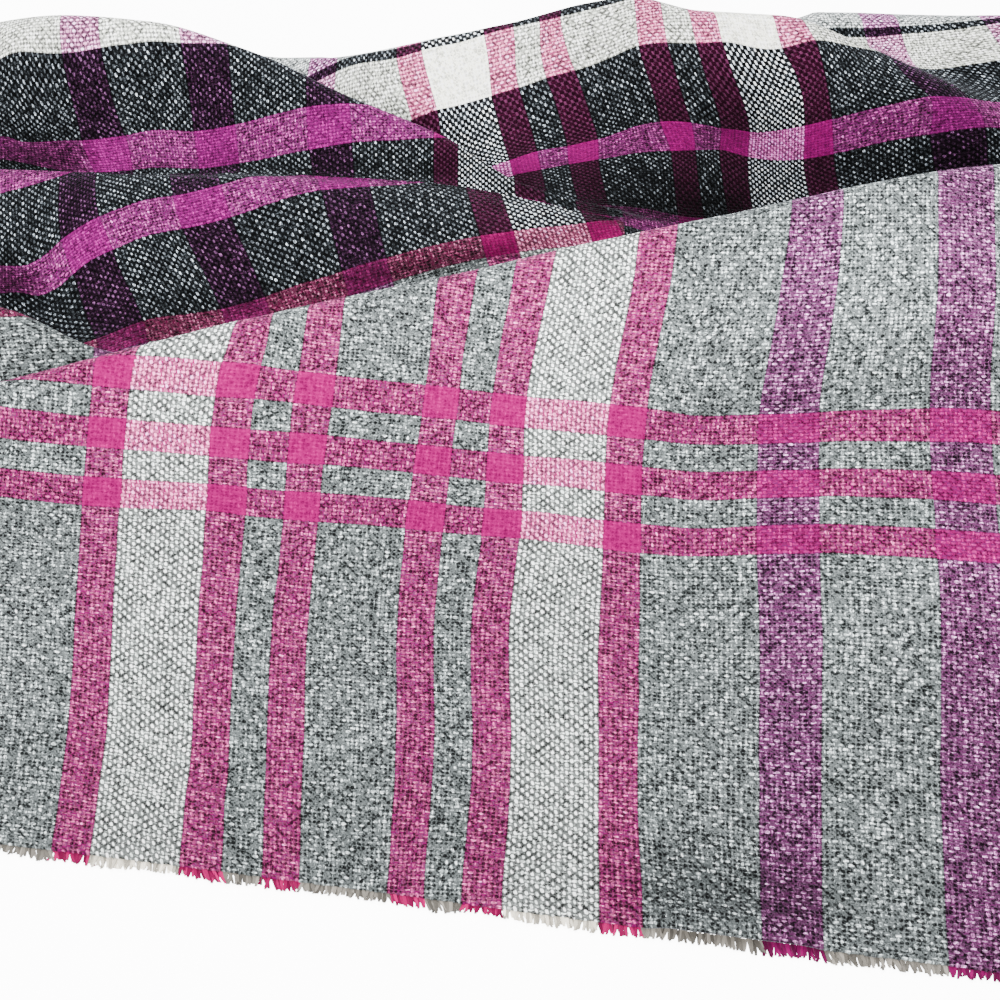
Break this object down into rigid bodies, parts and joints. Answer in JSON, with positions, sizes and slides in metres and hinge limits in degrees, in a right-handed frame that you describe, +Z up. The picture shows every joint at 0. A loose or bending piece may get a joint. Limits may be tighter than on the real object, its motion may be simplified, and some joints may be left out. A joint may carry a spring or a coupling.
{
  "type": "tartan blanket scarf",
  "caption": "Wide plaid blanket scarf dropped in loose diagonal folds on a flat surface, its frayed cut end lying forward.",
  "frame": {"origin": "centre of the bounding box on the surface that the scarf lies on", "axes": "+X across the cloth to the right, +Y from the cut front end to the back, +Z up"},
  "size_m": [0.9043, 0.6015, 0.09],
  "materials": {
    "grey_plaid": "brushed plain weave, soft matt with a faint sheen",
    "dark_plaid": "brushed plain weave, soft matt with a faint sheen",
    "cream_plaid": "brushed plain weave, soft matt with a faint sheen",
    "folded_cloth": "brushed plain weave seen edge on, matt",
    "yarn_ends": "loose cut yarn ends, matt"
  },
  "bodies": {
    "root": {"front_flap": "grey_plaid", "first_wave": "dark_plaid", "second_wave": "dark_plaid", "third_wave": "dark_plaid", "back_stretch": "cream_plaid", "hidden_layers": "folded_cloth", "yarn_fringe": "yarn_ends"}
  },
  "joints": []
}
